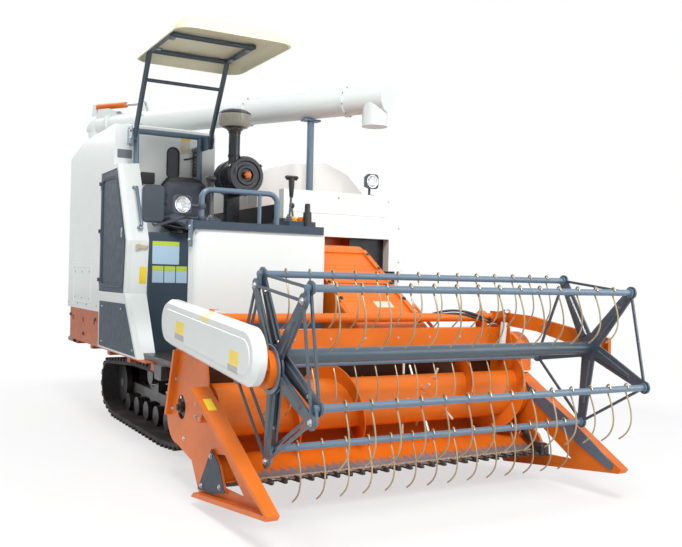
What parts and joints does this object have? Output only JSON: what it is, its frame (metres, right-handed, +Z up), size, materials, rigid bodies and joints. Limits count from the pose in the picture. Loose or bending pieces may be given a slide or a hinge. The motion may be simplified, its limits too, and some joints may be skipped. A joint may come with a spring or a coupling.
{
  "type": "tracked rice combine harvester",
  "caption": "Crawler combine harvester with feeder house, header auger, knife and tined reel, open seat under a canopy, grain tank, thresher and swinging unloading tube.",
  "frame": {"origin": "on the ground under the middle of the machine's bounding box", "axes": "+X forward, +Y to the machine's left, +Z up"},
  "size_m": [5.0437, 2.3, 2.8143],
  "materials": {
    "body_white": "satin cream-white enamel",
    "panel_slate": "satin dark slate-grey enamel",
    "frame_orange": "satin orange enamel",
    "reel_steel": "satin blue-grey enamel",
    "canopy_cream": "moulded cream plastic",
    "black_paint": "satin black enamel",
    "track_rubber": "worn matt black rubber",
    "black_plastic": "grained black plastic",
    "seat_vinyl": "grained slate vinyl",
    "bare_steel": "ground steel",
    "engine_grey": "plain casting",
    "lamp_chrome": "bright reflector",
    "window_glass": "clear"
  },
  "bodies": {
    "chassis": {"chassis_frame": "frame_orange", "track_frames": "frame_orange", "track_rollers": "black_paint", "drive_sprockets": "bare_steel", "drive_case": "frame_orange", "track_left": "track_rubber", "track_right": "track_rubber", "engine_block": "engine_grey", "engine_cover": "panel_slate", "operator_floor": "black_paint", "front_cowl": "body_white", "cowl_trim": "panel_slate", "side_console": "panel_slate", "control_levers": "black_plastic", "operator_seat": "seat_vinyl", "seat_frame": "reel_steel", "guard_rail": "reel_steel", "mirror_unit": "black_plastic", "work_lamps": "lamp_chrome", "air_cleaner": "black_plastic", "grain_tank": "body_white", "tank_window": "window_glass", "front_pillar": "body_white", "lower_panel": "panel_slate", "thresher_body": "frame_orange", "thresher_front_cover": "body_white", "drum_cover": "body_white", "straw_hood": "frame_orange", "left_covers": "body_white", "rear_guard": "reel_steel", "auger_post": "reel_steel", "fuel_tank": "black_plastic"},
    "header": {"feeder_house": "frame_orange", "header_pan": "frame_orange", "header_side_right": "frame_orange", "header_side_left": "frame_orange", "drive_cover": "frame_orange", "cutter_guards": "black_paint"},
    "knife": {"knife": "bare_steel"},
    "header_auger": {"header_auger": "frame_orange"},
    "reel_arms": {"reel_arms": "frame_orange", "chain_cover": "body_white"},
    "reel": {"reel": "reel_steel"},
    "eccentric_star": {"eccentric_star": "reel_steel"},
    "header_cylinder_barrel": {"header_cylinder_barrel": "black_paint"},
    "header_cylinder_rod": {"header_cylinder_rod": "bare_steel"},
    "reel_cylinder_barrel": {"reel_cylinder_barrel": "body_white"},
    "reel_cylinder_rod": {"reel_cylinder_rod": "bare_steel"},
    "unloader_base": {"unloader_base": "body_white"},
    "unloader_boom": {"unloader_boom": "body_white"},
    "unloader_cylinder_barrel": {"unloader_cylinder_barrel": "frame_orange"},
    "unloader_cylinder_rod": {"unloader_cylinder_rod": "bare_steel"},
    "side_cover": {"side_cover": "panel_slate"},
    "canopy": {"canopy_posts": "reel_steel", "canopy_roof": "canopy_cream"},
    "tine_bar_1": {"tine_bar_1": "reel_steel"},
    "tine_bar_2": {"tine_bar_2": "reel_steel"},
    "tine_bar_3": {"tine_bar_3": "reel_steel"},
    "tine_bar_4": {"tine_bar_4": "reel_steel"},
    "tine_bar_5": {"tine_bar_5": "reel_steel"}
  },
  "joints": [
    {"name": "header_lift", "type": "hinge", "parent": "chassis", "child": "header", "pos_m": [0.19, 0, 1.25], "axis": [0, -1, 0], "range_deg": [0, 20]},
    {"name": "reel_lift", "type": "hinge", "parent": "header", "child": "reel_arms", "pos_m": [1.165, 0, 0.985], "axis": [0, -1, 0], "range_deg": [0, 18]},
    {"name": "reel_spin", "type": "hinge", "parent": "reel_arms", "child": "reel", "pos_m": [2.09, 0, 0.859], "axis": [0, 1, 0], "continuous": true},
    {"name": "eccentric_spin", "type": "hinge", "parent": "reel_arms", "child": "eccentric_star", "pos_m": [2.09, -1.009, 0.804], "axis": [0, 1, 0], "continuous": true},
    {"name": "auger_spin", "type": "hinge", "parent": "header", "child": "header_auger", "pos_m": [1.375, 0, 0.51], "axis": [0, 1, 0], "continuous": true},
    {"name": "knife_stroke", "type": "slide", "parent": "header", "child": "knife", "axis": [0, 1, 0], "range_m": [-0.038, 0.038]},
    {"name": "header_barrel_swing", "type": "hinge", "parent": "chassis", "child": "header_cylinder_barrel", "pos_m": [0.265, 0.27, 0.5], "axis": [0, -1, 0], "range_deg": [0, 20.29]},
    {"name": "header_rod_slide", "type": "slide", "parent": "header_cylinder_barrel", "child": "header_cylinder_rod", "axis": [0.9992, 0, -0.0406], "range_m": [0, 0.2674]},
    {"name": "reel_barrel_swing", "type": "hinge", "parent": "header", "child": "reel_cylinder_barrel", "pos_m": [1.3, 0, 0.77], "axis": [0, -1, 0], "range_deg": [0, 4.89]},
    {"name": "reel_rod_slide", "type": "slide", "parent": "reel_cylinder_barrel", "child": "reel_cylinder_rod", "axis": [0.1168, 0, 0.9932], "range_m": [0, 0.04882]},
    {"name": "unloader_swing", "type": "hinge", "parent": "chassis", "child": "unloader_base", "pos_m": [-2.4, -0.78, 0.7], "axis": [0, 0, 1], "range_deg": [0, 240]},
    {"name": "unloader_lift", "type": "hinge", "parent": "unloader_base", "child": "unloader_boom", "pos_m": [-2.23546, -0.685, 2.727], "axis": [0.5, -0.866, 0], "range_deg": [0, 40]},
    {"name": "unloader_barrel_swing", "type": "hinge", "parent": "unloader_base", "child": "unloader_cylinder_barrel", "pos_m": [-2.43464, -0.8, 2.788], "axis": [0.5, -0.866, 0], "range_deg": [0, 25.55]},
    {"name": "unloader_rod_slide", "type": "slide", "parent": "unloader_cylinder_barrel", "child": "unloader_cylinder_rod", "axis": [0.8657, 0.4998, -0.0267], "range_m": [-0.06729, 0]},
    {"name": "side_cover_hinge", "type": "hinge", "parent": "chassis", "child": "side_cover", "pos_m": [-1.106, -1.058, 1.51], "axis": [0, 0, -1], "range_deg": [0, 100]},
    {"name": "canopy_fold", "type": "hinge", "parent": "chassis", "child": "canopy", "pos_m": [-0.47, -0.685, 2.205], "axis": [0, -1, 0], "range_deg": [0, 35]},
    {"name": "tine_bar_1_turn", "type": "hinge", "parent": "reel", "child": "tine_bar_1", "pos_m": [1.87744, 0, 1.23624], "axis": [0, 1, 0], "continuous": true},
    {"name": "tine_bar_2_turn", "type": "hinge", "parent": "reel", "child": "tine_bar_2", "pos_m": [2.38309, 0, 1.17773], "axis": [0, 1, 0], "continuous": true},
    {"name": "tine_bar_3_turn", "type": "hinge", "parent": "reel", "child": "tine_bar_3", "pos_m": [2.4837, 0, 0.67875], "axis": [0, 1, 0], "continuous": true},
    {"name": "tine_bar_4_turn", "type": "hinge", "parent": "reel", "child": "tine_bar_4", "pos_m": [2.04023, 0, 0.42887], "axis": [0, 1, 0], "continuous": true},
    {"name": "tine_bar_5_turn", "type": "hinge", "parent": "reel", "child": "tine_bar_5", "pos_m": [1.66554, 0, 0.77341], "axis": [0, 1, 0], "continuous": true}
  ],
  "couplings": [
    {"joint": "header_barrel_swing", "follows": "header_lift", "ratio": 0.9947},
    {"joint": "header_rod_slide", "follows": "header_lift", "m_per_rad": 0.75103},
    {"joint": "reel_barrel_swing", "follows": "reel_lift", "ratio": 0.26611},
    {"joint": "reel_rod_slide", "follows": "reel_lift", "m_per_rad": 0.15235},
    {"joint": "unloader_barrel_swing", "follows": "unloader_lift", "ratio": 0.62625},
    {"joint": "unloader_rod_slide", "follows": "unloader_lift", "m_per_rad": -0.094491},
    {"joint": "eccentric_spin", "follows": "reel_spin", "ratio": 1},
    {"joint": "tine_bar_1_turn", "follows": "reel_spin", "ratio": -1},
    {"joint": "tine_bar_2_turn", "follows": "reel_spin", "ratio": -1},
    {"joint": "tine_bar_3_turn", "follows": "reel_spin", "ratio": -1},
    {"joint": "tine_bar_4_turn", "follows": "reel_spin", "ratio": -1},
    {"joint": "tine_bar_5_turn", "follows": "reel_spin", "ratio": -1}
  ]
}
